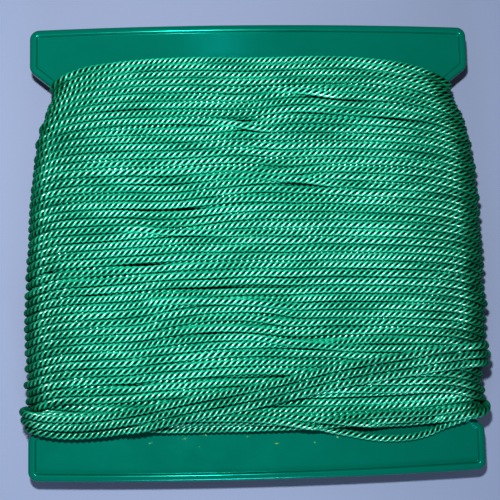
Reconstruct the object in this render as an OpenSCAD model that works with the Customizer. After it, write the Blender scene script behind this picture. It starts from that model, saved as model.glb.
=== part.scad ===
// Flat line winder: a one-piece moulded plate with two wide flanges and a narrower
// neck, wound with a twisted fishing line. The plate lies flat, its width along X
// and its height along Y. Z = 0 is the surface that the wound line rests on.

/* [Winder frame] */
// Width of both flanges
flange_w = 120; // [100:1:140]
// Height of the winder between its outer corners
winder_h = 120.5; // [100:0.5:140]
// Height of the straight end of a flange
flange_side = 11.3; // [8:0.1:14]
// Depth of the side recess that the line is wound in
neck_depth = 9; // [7:0.5:14]
// Slope of the flange's shoulder, which leads down into the recess
shoulder_angle = 39; // [30:1:48]
// Rise of a flange's long outer edge at its middle
edge_crown = 1.2; // [0.4:0.1:3]
// Radius of the flange's outer corners
corner_r = 2; // [1:0.1:4]
// Radius of the inner corner between shoulder and neck
neck_r = 3; // [1:0.5:5]

/* [Plate section] */
// Thickness of the panel inside the rim
web_t = 2.4; // [1.6:0.1:3]
// Thickness of the rim that runs round the whole edge
rim_t = 4; // [3.6:0.1:6]
// Width of the rim's face
rim_w = 1.8; // [1.5:0.1:2.4]
// Run of the rim's sloping inner wall
rim_draft = 0.3; // [0.1:0.05:0.6]
// Rounding of the rim's outer edges
edge_r = 1; // [0.4:0.1:1.3]

/* [Line] */
// Diameter of the twisted line
line_d = 2; // [1.4:0.1:2.5]
// Turns in the outer layer
outer_turns = 24; // [8:1:24]
// Clearance between the outer turns and what they lie on
line_gap = 0.35; // [0.25:0.05:0.6]

/* [Winding] */
// Build-up of line past the neck's side edge, where it is fullest
side_build = 10.4; // [7:0.2:13]
// Build-up of line above the rim's face, where it is fullest
face_build = 9; // [7:0.1:12]
// Place of the fullest part, from -1 at the low end to 1 at the top end
fullest = -0.3; // [-0.6:0.05:0.2]
// Share of the build-up that is missing at the top end
top_taper = 0.67; // [0.3:0.01:0.7]
// Share of the build-up that is missing at the low end
low_taper = 0.2; // [0.1:0.01:0.6]
// Distance that the top turn bows out over its flange
top_bow = 8.4; // [2:0.2:10]
// Distance that the lowest turn bows out over its flange
low_bow = 2.4; // [0.4:0.2:6]

/* [Line anchor] */
// Distance of the anchor hole from the neck's side edge
anchor_in = 9; // [7:0.5:20]
// Height of the anchor hole above the winder's middle
anchor_y = 10; // [0:1:20]
// Radial clearance of the line in its anchor hole
anchor_gap = 0.4; // [0.2:0.05:0.6]
// Width of the stopper knot, in line diameters
knot_size = 2.2; // [1.8:0.1:2.6]

/* [Seats] */
// Clearance of the inner layers and of the knot on the frame
seat_gap = 0.3; // [0.2:0.05:0.5]
// Clearance of the inner layers round the start of the line
pocket_gap = 0.4; // [0.3:0.05:0.6]

/* [Hidden] */
neck_w = flange_w - 2 * neck_depth;
shoulder_y = winder_h / 2 - flange_side; // where a straight end meets its shoulder
top_power = 4;                           // how late the build-up falls off towards the top end
low_power = 6;                           // the same towards the low end
end_power = 12;                          // how squarely the winding ends over a flange
bow_power = 3;                           // how evenly a bowed turn curves
tip_power = 2.4;                         // how squarely a turn rounds the side, 2 being round
rest_cut = line_d / 10;                  // depth of the flat that the winding rests on
arc_steps = 4;
crown_steps = 12;
least_r = 0.1;                           // smallest radius left at an inset corner

// ---- Outline of the winder -------------------------------------------------
// A stop is [centre x, centre y, radius, outward direction]. A rounded corner has
// a positive radius and a hollow one a negative radius, so the outline inset by d
// is the same list of stops with every radius d smaller.

crown_r = (pow(flange_w / 2, 2) + pow(edge_crown, 2)) / (2 * edge_crown);
crown_cy = winder_h / 2 + edge_crown - crown_r;
shoulder_dir = shoulder_angle - 90;
neck_cx = neck_w / 2 + neck_r;
neck_cy = shoulder_y + ((neck_cx - flange_w / 2) * sin(shoulder_angle) - neck_r) / cos(shoulder_angle);

function arc_stops(cx, cy, r, from, to, steps) =
    [for (i = [0:steps]) [cx, cy, r, from + (to - from) * i / steps]];

function mirrored(stops) =
    [for (i = [len(stops) - 1:-1:0]) let (s = stops[i]) [-s[0], s[1], s[2], 180 - s[3]]];

function turned(stops) = [for (s = stops) [-s[0], -s[1], s[2], s[3] + 180]];

// Stops of the upper half, from the right side of the neck round to the left,
// with outer corners of radius r
function upper_stops(r) =
    let (corner_x = flange_w / 2 - r,
         shoulder_cy = shoulder_y + r * (1 - sin(shoulder_angle)) / cos(shoulder_angle),
         corner_cy = crown_cy + sqrt(pow(crown_r - r, 2) - pow(corner_x, 2)),
         crown_start = atan2(corner_cy - crown_cy, corner_x),
         right = concat(
             arc_stops(neck_cx, neck_cy, -neck_r, 0, shoulder_dir, arc_steps),
             arc_stops(corner_x, shoulder_cy, r, shoulder_dir, 0, arc_steps),
             arc_stops(corner_x, corner_cy, r, 0, crown_start, arc_steps)),
         crown = [for (i = [1:crown_steps - 1])
             [0, crown_cy, crown_r, crown_start + (180 - 2 * crown_start) * i / crown_steps]])
    concat(right, crown, mirrored(right));

// Outline of the whole winder, inset by a distance. A corner that the inset would
// use up keeps the smallest radius instead, and its centre moves in.
function outline(inset) =
    let (upper = upper_stops(max(corner_r, inset + least_r)))
    [for (s = concat(upper, turned(upper)))
        [s[0] + (s[2] - inset) * cos(s[3]), s[1] + (s[2] - inset) * sin(s[3])]];

// ---- Solids made of rings --------------------------------------------------

// Triangles between neighbouring rings, each ring a closed loop of as many points
function ring_faces(rings, sides) =
    [for (i = [0:rings - 2], j = [0:sides - 1], half = [0, 1])
        let (a = i * sides + j, b = i * sides + (j + 1) % sides)
        half == 0 ? [a, b, b + sides] : [a, b + sides, a + sides]];

function flipped(faces) = [for (f = faces) [for (i = [len(f) - 1:-1:0]) f[i]]];

// Section of the plate's edge from its front panel to its back one, as
// [inset from the outline, height above the middle]
front_section = concat(
    [[rim_w + rim_draft, web_t / 2], [rim_w, rim_t / 2]],
    [for (i = [0:arc_steps]) let (a = 90 * i / arc_steps)
        [edge_r * (1 - sin(a)), rim_t / 2 - edge_r * (1 - cos(a))]]);
edge_section = concat(front_section,
    [for (i = [len(front_section) - 1:-1:0]) [front_section[i][0], -front_section[i][1]]]);

module plate() {
    rings = [for (s = edge_section) [for (p = outline(s[0])) [p[0], p[1], s[1]]]];
    sides = len(rings[0]);
    last = (len(rings) - 1) * sides;
    polyhedron(points = [for (r = rings) each r], faces = concat(
        ring_faces(len(rings), sides),
        [[for (j = [sides - 1:-1:0]) j]],
        [[for (j = [0:sides - 1]) last + j]]));
}

// ---- Shape of the winding --------------------------------------------------
// "along" is 1 at the winding's top end and -1 at its low end. "across" is -1 at
// its left edge and 1 at its right edge. "inside" is the distance inside the line
// that runs through the middle of the outer turns.

function share(along) = along > fullest
    ? 1 - top_taper * pow((along - fullest) / (1 - fullest), top_power)
    : 1 - low_taper * pow((fullest - along) / (1 + fullest), low_power);

face_seat = rim_t / 2 + line_d / 2 + 3 * line_gap;
function half_width(along) = neck_w / 2 + side_build * share(along) - line_d / 2;
function half_depth(along) = face_seat
    + (rim_t / 2 + face_build * share(along) - line_d / 2 - face_seat) * sqrt(1 - pow(abs(along), end_power));

// Height at which a turn with the half width x clears the shoulder
function shoulder_clear(x) = shoulder_y - (flange_w / 2 - x) * tan(shoulder_angle)
    - (line_d / 2 + 2 * line_gap) / cos(shoulder_angle);
side_top = shoulder_clear(half_width(1));
side_low = -shoulder_clear(half_width(-1));
side_half = (side_top - side_low) / 2;
function side_y(along) = side_low + side_half * (along + 1);
function bow(along) = along * ((top_bow + low_bow) / 2 + along * (top_bow - low_bow) / 2);

// A point of the winding, on its front face if face is 1 and on its back one if -1
function wound(along, across, face, inside) =
    let (a = half_width(along) - inside, b = half_depth(along) - inside,
         drawn_in = along * (1 - inside / side_half),
         y = side_y(drawn_in) + bow(drawn_in) * (1 - pow(abs(across), bow_power)))
    [a * across, y, face * b * sqrt(1 - pow(abs(across), tip_power * a / b))];

// Stations of a quarter turn: four round the winding's side edge, at these angles,
// and two on its face
edge_angles = [0, 22, 45, 69];
quarter = len(edge_angles) + 2;
rings_per_turn = 4 * quarter;

function edge_across(along, inside, angle) =
    let (a = half_width(along) - inside, b = half_depth(along) - inside)
    pow(cos(angle), 2 * b / (tip_power * a));
function quarter_across(along, inside, step) = step < len(edge_angles)
    ? edge_across(along, inside, edge_angles[step])
    : edge_across(along, inside, edge_angles[len(edge_angles) - 1]) * (quarter - step) / 3;

// Station k of a turn that starts at the middle of the back face and goes left
function station(along, inside, k) =
    let (in_half = k % (2 * quarter), step = abs(quarter - in_half),
         side = k % rings_per_turn < 2 * quarter ? -1 : 1,
         in_turn = k % rings_per_turn,
         face = in_turn < quarter || in_turn >= 3 * quarter ? -1 : 1,
         across = step == quarter ? 0 : quarter_across(along, inside, step))
    wound(along, side * across, face, inside);

// ---- Route of the outer turns ----------------------------------------------

last_station = outer_turns * rings_per_turn;
route = [for (k = [0:last_station]) station(1 - 2 * k / last_station, 0, k)];

ring_sides = 6;
ring_r = line_d / 2 / cos(180 / ring_sides); // to the corners of a ring with flats line_d apart

function unit(v) = v / norm(v);
function heading(k) = unit(route[min(k + 1, last_station)] - route[max(k - 1, 0)]);
function line_ring(k) =
    let (ahead = heading(k), beside = unit([0, 1, 0] - ahead * ahead[1]), out = cross(beside, ahead))
    [for (j = [0:ring_sides - 1]) let (a = 360 * (j + 0.5) / ring_sides)
        route[k] + ring_r * (cos(a) * out + sin(a) * beside)];

// Least gap from any turn to the next one, measured on the route's points
least_turn_gap = min([for (k = [0:last_station - rings_per_turn], near = [-2:2])
    norm(route[k] - route[min(k + rings_per_turn + near, last_station)])]) - 2 * ring_r;
echo(least_turn_gap = least_turn_gap);

// The winding rests on its back face, so its middle plane is this high
middle_z = max([for (along = [-1:0.02:1]) half_depth(along)]) + line_d / 2 - rest_cut;

// ---- Pieces ----------------------------------------------------------------

anchor_x = anchor_in - neck_w / 2;
knot_r = knot_size * line_d / 2;
knot_z = web_t / 2 + seat_gap;            // where the knot sits on the panel
run_z = rim_t / 2 + seat_gap + line_d / 2; // depth of the run, which clears the rim
core_end = 0.97; // how far along the inner layers reach
core_rows = 20;

module winder_frame() {
    color([0.02, 0.42, 0.35])
    translate([0, 0, middle_z])
    difference() {
        plate();
        translate([anchor_x, anchor_y, -rim_t])
            cylinder(h = 2 * rim_t, r = line_d / 2 + anchor_gap, $fn = 48);
    }
}

// Inner layers as one plain pile with the stations of a turn. Its end faces run
// straight from its front to its back.
module pile(inside) {
    sides = rings_per_turn;
    rows = [for (i = [0:core_rows]) core_end * cos(180 * i / core_rows)];
    last = core_rows * sides;
    cap = [for (k = [-quarter:quarter - 1], half = [0, 1])
        let (a = (k + sides) % sides, b = (k + 1 + sides) % sides,
             c = sides / 2 - k - 1, d = (sides / 2 - k) % sides)
        if (half == 0 ? b != c : d != a) half == 0 ? [a, b, c] : [a, c, d]];
    polyhedron(
        points = [for (along = rows, k = [0:sides - 1]) station(along, inside, k)],
        faces = concat(
            ring_faces(len(rows), sides),
            flipped(cap),
            [for (f = cap) [for (k = f) last + k]]));
}

module line_inner_layers() {
    color([0.06, 0.5, 0.34])
    translate([0, 0, middle_z])
    difference() {
        pile(line_d / 2 + line_gap);
        plate_slot(seat_gap);
        line_pocket(pocket_gap);
    }
}

// Room for the plate, which the taut inner layers span from rim to rim
module plate_slot(gap) {
    translate([0, 0, -rim_t / 2 - gap])
        linear_extrude(height = rim_t + 2 * gap) polygon(outline(-gap));
}

// Room for the start of the line: a round pocket over its knot, and a slot round its
// run that reaches past the room for the plate
module line_pocket(gap) {
    slot_r = line_d / 2 + gap;
    translate([anchor_x, anchor_y, 0]) {
        cylinder(h = knot_z + 2 * knot_r + gap, r = knot_r + gap, $fn = 48);
        translate([-anchor_in - seat_gap - gap, -slot_r, -run_z - slot_r])
            cube([anchor_in + seat_gap + gap + slot_r, 2 * slot_r, run_z + slot_r]);
    }
}

module line_outer_turns() {
    span = 2 * flange_w;
    color([0.1, 0.62, 0.44])
    intersection() {
        translate([0, 0, middle_z])
        polyhedron(
            points = [for (k = [0:last_station]) each line_ring(k)],
            faces = concat(
                flipped(ring_faces(last_station + 1, ring_sides)),
                [[for (j = [0:ring_sides - 1]) j]],
                [[for (j = [ring_sides - 1:-1:0]) last_station * ring_sides + j]]));
        translate([-span / 2, -span / 2, 0]) cube([span, span, 2 * middle_z + line_d]);
    }
}

// Start of the line: a stopper knot on the front of the panel, drawn as one round
// bead, the line through its hole, and a bend behind it into a run over the rim
module line_start_knot() {
    bend_r = run_z - web_t / 2;
    color([0.1, 0.62, 0.44])
    translate([anchor_x, anchor_y, middle_z]) {
        translate([0, 0, knot_z + knot_r]) sphere(r = knot_r, $fn = 48);
        translate([0, 0, -web_t / 2]) line_piece(web_t / 2 + knot_z + knot_r);
        translate([-bend_r, 0, -web_t / 2]) rotate([-90, 0, 0])
            rotate_extrude(angle = 90, $fn = 48) translate([bend_r, 0]) circle(d = line_d, $fn = 32);
        translate([-bend_r, 0, -run_z]) rotate([0, -90, 0]) line_piece(anchor_in - bend_r);
    }
}

module line_piece(length) {
    cylinder(h = length, d = line_d, $fn = 32);
}

winder_frame();
line_inner_layers();
line_outer_turns();
line_start_knot();
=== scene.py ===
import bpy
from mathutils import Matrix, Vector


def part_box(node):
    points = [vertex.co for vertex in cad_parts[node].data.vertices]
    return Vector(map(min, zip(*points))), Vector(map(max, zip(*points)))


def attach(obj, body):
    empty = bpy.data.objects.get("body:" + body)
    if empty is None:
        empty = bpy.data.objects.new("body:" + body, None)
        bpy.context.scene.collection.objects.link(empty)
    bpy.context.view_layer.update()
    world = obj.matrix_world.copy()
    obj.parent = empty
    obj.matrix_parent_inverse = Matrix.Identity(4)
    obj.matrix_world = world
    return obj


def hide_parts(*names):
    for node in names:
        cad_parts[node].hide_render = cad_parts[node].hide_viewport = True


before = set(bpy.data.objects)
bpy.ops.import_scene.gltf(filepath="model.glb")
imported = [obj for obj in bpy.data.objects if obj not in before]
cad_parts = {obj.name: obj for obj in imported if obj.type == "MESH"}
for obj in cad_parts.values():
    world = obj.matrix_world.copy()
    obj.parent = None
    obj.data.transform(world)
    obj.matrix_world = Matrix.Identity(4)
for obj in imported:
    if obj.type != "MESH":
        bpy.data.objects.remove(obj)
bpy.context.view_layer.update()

# %% [markdown]
# # A flat hand line winder
# Anglers keep a hand line on a flat plate with two wide flanges and a narrower neck. This lesson
# dresses the winder's bare construction model: the moulded plate, and some 47 metres of twisted
# line wound round its neck. The construction model fixes the sizes, so the lesson reads them from
# the frame wherever it can, works in millimetres and turns them to metres at the end.

# %% Tools and units
import math

import bmesh
import bpy
import numpy as np
from mathutils import Matrix, Vector

MM = 0.001
random = np.random.default_rng(7)


def add_object(name, data):
    """A new object in the scene."""
    made = bpy.data.objects.new(name, data)
    bpy.context.scene.collection.objects.link(made)
    return made


def object_of(name, bm):
    """A bmesh's shape as an object. The bmesh is used up."""
    mesh = bpy.data.meshes.new(name)
    bm.to_mesh(mesh)
    bm.free()
    return add_object(name, mesh)


def distances(points):
    """How far along a route each of its points lies."""
    return np.concatenate([[0], np.cumsum(np.linalg.norm(np.diff(points, axis=0), axis=1))])


def straighten(line, share):
    """Draws every point of a line towards the middle of its two neighbours."""
    line[1:-1] += share * (line[:-2] - 2 * line[1:-1] + line[2:])


plate_low, plate_high = (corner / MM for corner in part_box("winder_frame"))
plate_w, plate_h, plate_t = plate_high - plate_low
middle_z = (plate_low.z + plate_high.z) / 2
print(f"plate {plate_w:.1f} x {plate_h:.1f} x {plate_t:.1f} mm, its middle {middle_z:.1f} mm up")

# %% [markdown]
# ## The camera
# It comes first, so that every later choice can be judged from where the viewer stands: almost
# straight above the winder, a little low and to the left, with a short telephoto lens. The frame
# is square. The camera's turn is built from three directions, since a camera that looks straight
# down has no useful "up" of its own.

# %% Camera
CAMERA_SPOT = Vector((-11.6, -28.6, 249.8))   # from the plate's middle, mm
CAMERA_AIM = Vector((-1.16, -0.82, 0.0))
CAMERA_LEVEL = Vector((1.0, -0.0175, 0.0))    # where the view's horizontal points
LENS, SENSOR = 67.2, 36.0

back = (CAMERA_SPOT - CAMERA_AIM).normalized()
upward = back.cross(CAMERA_LEVEL).normalized()
turn = Matrix((upward.cross(back), upward, back)).transposed().to_4x4()
camera = add_object("camera", bpy.data.cameras.new("camera"))
camera.data.lens = LENS
camera.data.sensor_width = SENSOR
camera.data.clip_start = 0.01
camera.matrix_world = Matrix.Translation((CAMERA_SPOT + Vector((0, 0, middle_z))) * MM) @ turn
bpy.context.scene.camera = camera
print("camera at", camera.location[:])

# %% [markdown]
# ## The shape of the winding
# The wound line makes a flat cushion. Its section is a long oval: flat on both faces, and round
# where the line turns over the neck's sides. It is fullest below the middle and slimmer towards
# the top, where fewer layers lie. Top turns bow out over their flange. One place on it is given
# by `v`, which runs from 1 at the top end to -1 at the low end, by `across`, which runs from -1
# at the left side to 1 at the right, and by the face, 1 for front and -1 for back. These
# formulas are the construction model's own, so the visible line fills the same space.

# %% Envelope of the winding
LINE_D = 2.0
NECK_DEPTH, FLANGE_SIDE, SHOULDER_ANGLE = 9.0, 11.3, math.radians(39)
EDGE_CROWN = 1.2
SIDE_BUILD, FACE_BUILD = 10.4, 9.0            # build-up past the neck's side and the rim's face
FULLEST = -0.3                                # v where the cushion is thickest
TOP_TAPER, TOP_POWER = 0.67, 4                # how much it slims towards an end, and how late
LOW_TAPER, LOW_POWER = 0.2, 6
TOP_BOW, LOW_BOW, BOW_POWER = 8.4, 2.4, 3     # how far the end turns bow out over a flange
END_POWER, END_REACH, END_DROP = 12, 0.05, 1.7   # rounding of an end, and the sinking past it
TIP_POWER, LINE_GAP = 2.4, 0.35

winder_h = plate_h - 2 * EDGE_CROWN
neck_w = plate_w - 2 * NECK_DEPTH
seat = plate_t / 2 + LINE_D / 2 + 3 * LINE_GAP


def fullness(v):
    above = np.clip((v - FULLEST) / (1 - FULLEST), 0, 1) ** TOP_POWER
    below = np.clip((FULLEST - v) / (1 + FULLEST), 0, 1) ** LOW_POWER
    return 1 - TOP_TAPER * above - LOW_TAPER * below


def half_width(v):
    return neck_w / 2 + SIDE_BUILD * fullness(v) - LINE_D / 2


def half_depth(v):
    rounded_end = np.sqrt(1 - np.clip(np.abs(v), 0, 1) ** END_POWER)
    rise = plate_t / 2 + FACE_BUILD * fullness(v) - LINE_D / 2 - seat
    past_end = np.clip((np.abs(v) - 1) / END_REACH, 0, 1)
    return seat + rise * rounded_end - END_DROP * past_end


def clear_of_shoulder(x):
    slope_clearance = (LINE_D / 2 + 2 * LINE_GAP) / math.cos(SHOULDER_ANGLE)
    return winder_h / 2 - FLANGE_SIDE - (plate_w / 2 - x) * math.tan(SHOULDER_ANGLE) - slope_clearance


side_top = clear_of_shoulder(half_width(1))
side_low = -clear_of_shoulder(half_width(-1))


def height(v, across):
    """Where a place of the winding lies along the plate's height."""
    at_side = side_low + (side_top - side_low) / 2 * (v + 1)
    bow = v * ((TOP_BOW + LOW_BOW) / 2 + v * (TOP_BOW - LOW_BOW) / 2)
    return at_side + bow * (1 - np.abs(across) ** BOW_POWER)


def wound(v, across, face, lift):
    """Points of the winding, lifted off its surface by a distance."""
    a = half_width(v) + lift
    b = half_depth(v) + lift
    tip = 1 - np.abs(across) ** (TIP_POWER * a / b)
    return np.stack([a * across, height(v, across), face * b * np.sqrt(tip)], axis=-1)


print(f"side turns from y {side_low:.1f} to {side_top:.1f} mm, {half_width(FULLEST):.1f} mm out")

# %% [markdown]
# ## Stations round one turn
# Every turn is described at the same stations: from the middle of the back, round the left side,
# over the front, round the right side and back. They are spaced evenly along the line, which
# needs more of them in `across` near the sides, where the line turns over in a few millimetres.

# %% Stations
STATIONS = 320
fine = 1 - np.linspace(0, 1, 4000) ** 2       # from a side, 1, to the middle of a face, 0
quarter = wound(np.full_like(fine, FULLEST), fine, 1, 0)
run = distances(quarter)
steps = np.interp(np.arange(STATIONS // 4) / (STATIONS // 4), run / run[-1], fine)
last = np.array([0.0])
across = np.concatenate([-np.concatenate([last, steps[:0:-1]]), -steps,
                         np.concatenate([last, steps[:0:-1]]), steps])
face = np.repeat([-1, 1, 1, -1], STATIONS // 4)
on_front = face > 0
turn_length = 4 * run[-1]
print(f"a full turn is {turn_length:.0f} mm of line")

# %% [markdown]
# ## Unrolled coordinates
# Turns lie beside each other, so the natural coordinate is the distance `u` along the cushion's
# surface from its top end to its low end, at each station. A table per station turns `u` into
# `v`. Here two turns a line's thickness apart are really touching, at the rounded ends too.

# %% Unrolled coordinates
V_REACH = 1.14                                # a little past both ends
v_table = np.linspace(V_REACH, -V_REACH, 700)
u_table, y_table = [], []
for a, f in zip(across, face):
    strip = wound(v_table, np.full_like(v_table, a), f, 0)
    walked = distances(strip)
    u_table.append(walked - np.interp(-1, -v_table, walked))
    y_table.append(strip[:, 1])
u_table, y_table = np.array(u_table), np.array(y_table)
end_u = np.array([np.interp(1, -v_table, row) for row in u_table])


def u_at(station, y):
    """The unrolled distance of a height y at a station."""
    return np.interp(-y, -y_table[station], u_table[station])


def v_at(u):
    """The place v of unrolled distances, an array of turns by stations."""
    return np.stack([np.interp(u[:, s], u_table[s], v_table) for s in range(STATIONS)], axis=1)


print(f"the surface is {end_u.max():.1f} mm long at the middle, {end_u.min():.1f} mm at the side")

# %% [markdown]
# ## The outer layer's turns
# The visible layer is one long spiral of line. Most of its turns run side by side from the top to
# the low end; the last seven were wound carelessly over the low end, and come later. The spiral
# starts even, and a hand's unevenness is added as slow waves, one smaller than the other.

# %% Even spiral with a hand's unevenness
REGULAR, LOOSE_TURNS = 42, 7
TURNS = REGULAR + LOOSE_TURNS
PITCH = 2.22                                   # from one turn to the next, mm
count = TURNS * STATIONS
clock = np.arange(count) / STATIONS            # turns wound so far
around = clock % 1
grid_shape = (TURNS, STATIONS)


def waves(size, number, turns_per_wave, rounds):
    """A smooth random wander along the whole spiral, of about a size in mm. It is a sum of a
    number of cosines, with wave lengths in turns and some whole rounds of a turn as well."""
    total = np.zeros(count)
    for _ in range(number):
        along_spiral = random.uniform(*turns_per_wave)
        whole_rounds = random.integers(rounds[0], rounds[1] + 1)
        phase = random.uniform(0, 2 * np.pi)
        total += np.cos(2 * np.pi * (clock / along_spiral + whole_rounds * around) + phase)
    return (size * total / math.sqrt(number)).reshape(grid_shape)


def smooth_step(x):
    t = np.clip(x, 0, 1)
    return t * t * (3 - 2 * t)


def faded(x, first, last, run_out=22.0):
    """1 between two places, falling smoothly to 0 past them."""
    return smooth_step(np.minimum(x - first + run_out, last - x + run_out) / run_out)


print(f"{TURNS} turns, about {TURNS * turn_length / 1000:.1f} m of line")

# %% [markdown]
# ## How bundles of turns run
# Hand-wound turns are never quite level: bundles rise, dip and part, and a dark groove shows
# where two of them part. Each route below is such a parting line, given over the front,
# in millimetres from the plate's middle, with the stretch over which it opens.

# %% Parting lines
TOP_ROUTE = [(-60.4, 41.9), (-58, 45.4), (-55, 47.6), (-50, 48.9), (-42.6, 49.8), (-32.9, 50.8),
             (-18.5, 51.2), (0, 51.5), (19, 51.7), (34, 50.9), (44, 49.9), (53.5, 47.9),
             (57.5, 45.9), (60.4, 42.2)]
PARTINGS = [
    # opening, its first and last x, then the route's x and y
    (0.35, -36, 38, [(-54, 27.5), (-45, 29.5), (-35, 30.5), (-24, 30.5), (-10, 31.5), (-1, 33), (16, 34),
                     (29, 33.5), (37, 32.5), (49, 29.5), (57, 26.5)]),
    (0.20, -2, 35, [(-55, 24.5), (-41, 27), (-31, 27), (-21, 28), (-12, 28.5), (18, 29.5), (35, 29),
                    (49, 27), (57, 24)]),
    (0.35, -2, 53, [(-56, 22), (-45, 24.5), (-25, 25.5), (-14, 26), (-1, 25.5), (8, 24.5), (20, 25.5),
                    (30, 25.5), (41, 25), (57, 22.5)]),
    (0.30, -25, 10, [(-56, 18.5), (-43, 19.5), (-29, 20), (-21, 21), (-14, 22), (-1, 23), (9, 22),
                     (38, 21), (57, 19.5)]),
    (0.35, -25, 45, [(-57, 15), (-35, 16.5), (-25, 17.5), (-16, 18.5), (-10, 19.5), (6, 20), (15, 19),
                     (24, 17.5), (35, 16.5), (56, 15)]),
    (0.00, 0, 0, [(-57, 13), (-41, 14), (-29, 15.5), (-14, 16.5), (-1, 16.5), (15, 15.5), (35, 13),
                  (53, 12)]),
    (0.20, -1, 24, [(-57, 8.5), (-33, 10), (-19, 11), (15, 11.5), (24, 11), (38, 10), (56, 9)]),
    (0.30, -45, -1, [(-57, 6), (-33, 7.5), (-28, 8), (-21, 9), (12, 9), (38, 8.5), (57, 7)]),
    (0.25, -58, 15, [(-58, 2), (-32, 2), (-14, 2.5), (15, 2.5), (37, 2), (58, 1)]),
    (0.35, -58, 15, [(-58, -7), (-29, -7), (-17, -5), (-2, -5), (29, -5), (45, -5.5), (58, -6)]),
    (0.30, -36, -2, [(-59, -15), (-36, -15), (-27, -13), (-21, -12), (-2, -11), (29, -11.5), (58, -12)]),
    (0.25, -2, 58, [(-59, -18), (-37, -18), (-29, -16.5), (-17, -15.5), (-2, -15.5), (58, -16.5)]),
    (0.25, -37, 58, [(-58, -26), (-31, -25.5), (-21, -23), (-2, -22.5), (39, -23), (58, -23.5)]),
    (0.30, -43, -2, [(-58, -28), (-43, -27), (-29, -27.5), (-20, -28.5), (14, -29.5), (26, -31),
                     (58, -30.5)]),
    (0.30, -58, -2, [(-57, -32), (-43, -31), (-31, -31.5), (-23, -32.5), (-2, -33.5), (11, -34),
                     (23, -35.5), (36, -35.5), (57, -33.5)]),
    (0.40, -49, -2, [(-58, -37), (-49, -36), (-33, -36), (-25, -36.5), (-12, -38), (13, -39), (30, -40),
                     (47, -38.5), (57, -36.5)]),
    (0.40, -44, 34, [(-55, -40), (-44, -40.5), (-37, -42), (-32, -43), (-17, -43), (15, -43.5),
                     (28, -42.5), (34, -41.5), (57, -40)]),
]
print("parting lines open by", [opening for opening, *_ in PARTINGS], "mm")

# %% [markdown]
# A route is given over the front only. Its unrolled distance there is a share of the whole way
# from the top end to the low end. Round the sides and the back that share runs on evenly, from
# where the route leaves the front to where it comes back to it.

# %% Routes in unrolled distance
SIDE_FROM, SIDE_BLEND = 0.9, 0.1               # of `across`, where the turns go round a side
ROUNDING = 3                                   # a route's corners are rounded this far, mm
x_front = half_width(FULLEST) * across
front_stations = np.flatnonzero(on_front)
at_side = smooth_step((np.abs(across) - SIDE_FROM) / SIDE_BLEND)
turns_round = np.arange(STATIONS) / STATIONS
tops = np.arange(TURNS)[:, None] + turns_round - 0.5     # each place's turns from the top


def carried_round(values):
    """Values at the front stations, carried on evenly round the sides and the back."""
    last, first = values[-1], values[0]
    back_run = smooth_step(np.linspace(0, 1, STATIONS - len(values) + 2))[1:-1]
    rear = last + (first - last) * back_run
    half = len(rear) // 2
    return np.concatenate([rear[half:], values, rear[:half]])


def route_u(route):
    """A parting line's unrolled distance from the top, at every station."""
    xs, ys = np.array(route, float).T
    near = np.linspace(-ROUNDING, ROUNDING, 9)
    smooth_y = np.interp(x_front[front_stations, None] + near, xs, ys).mean(axis=1)
    over_front = np.array([u_at(s, y) for s, y in zip(front_stations, smooth_y)])
    share = over_front / end_u[front_stations]
    return carried_round(share) * end_u


lines_u = np.array([route_u(route) for *_, route in PARTINGS])
top_u = route_u(TOP_ROUTE)
print(f"the top turn lies {top_u.min():.1f} to {top_u.max():.1f} mm from the cushion's end")

# %% [markdown]
# Now every parting line is given the number of a turn, and the turns between two lines share the
# room. No two turns may come closer than the line is thick, or lie so far apart that the layer
# beneath shows, so a few rounds even out the room that each turn has. Then the hand's wander is
# added, and the parting lines are opened.

# %% Spread the turns
CLOSEST, WIDEST, EVENING_ROUNDS = 1.96, 2.36, 12   # room of a turn, mm
FADE_TURNS = 6                                 # turns over which a shift dies away
OPENING_SHARE, OPENING_TURNS = 0.4, 1.5        # each side's share of an opening, and its reach
front_middle = on_front & (np.abs(across) < SIDE_FROM)
line_turns = np.round(lines_u[:, front_middle].mean(axis=1) / PITCH)
known_turns = np.concatenate([[0, 2], line_turns, [TURNS - 1]])
known_u = np.vstack([top_u, top_u + 2 * PITCH, lines_u, (TURNS - 1) * PITCH * end_u / end_u.max()])
grid = np.stack([np.interp(tops[:, s], known_turns, known_u[:, s]) for s in range(STATIONS)], axis=1)
for _ in range(EVENING_ROUNDS):
    room = np.clip(np.diff(grid, axis=0), CLOSEST, WIDEST)
    grid[0] += 0.5 * (grid - np.vstack([grid[:1], grid[:1] + np.cumsum(room, axis=0)])).mean(axis=0)
    grid[1:] = grid[0] + np.cumsum(room, axis=0)
grid += (1 - at_side) * (top_u - grid[0]) * np.exp(-np.arange(TURNS)[:, None] / FADE_TURNS)
slow = waves(size=0.12, number=10, turns_per_wave=(5, 14), rounds=(-1, 1))
quick = waves(size=0.07, number=14, turns_per_wave=(1.3, 2.9), rounds=(-4, 4))
grid += slow + quick
open_here = np.zeros(grid_shape)
for (opening, first_x, last_x, _), place in zip(PARTINGS, line_turns):
    fade = np.where(on_front, faded(x_front, first_x, last_x), 0)
    away = tops - place
    grid += fade * np.sign(away) * OPENING_SHARE * opening * np.exp(-np.abs(away) / OPENING_TURNS)
    open_here = np.maximum(open_here, fade * (np.abs(away) < 1) * (opening > 0))
print("parting lines at turns", line_turns.astype(int).tolist())

# %% [markdown]
# ## Turns that cross
# Here and there a turn was laid across its neighbour: it lies over it for a few centimetres, and
# from there on the two have changed places. They change back somewhere on the rear.

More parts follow.
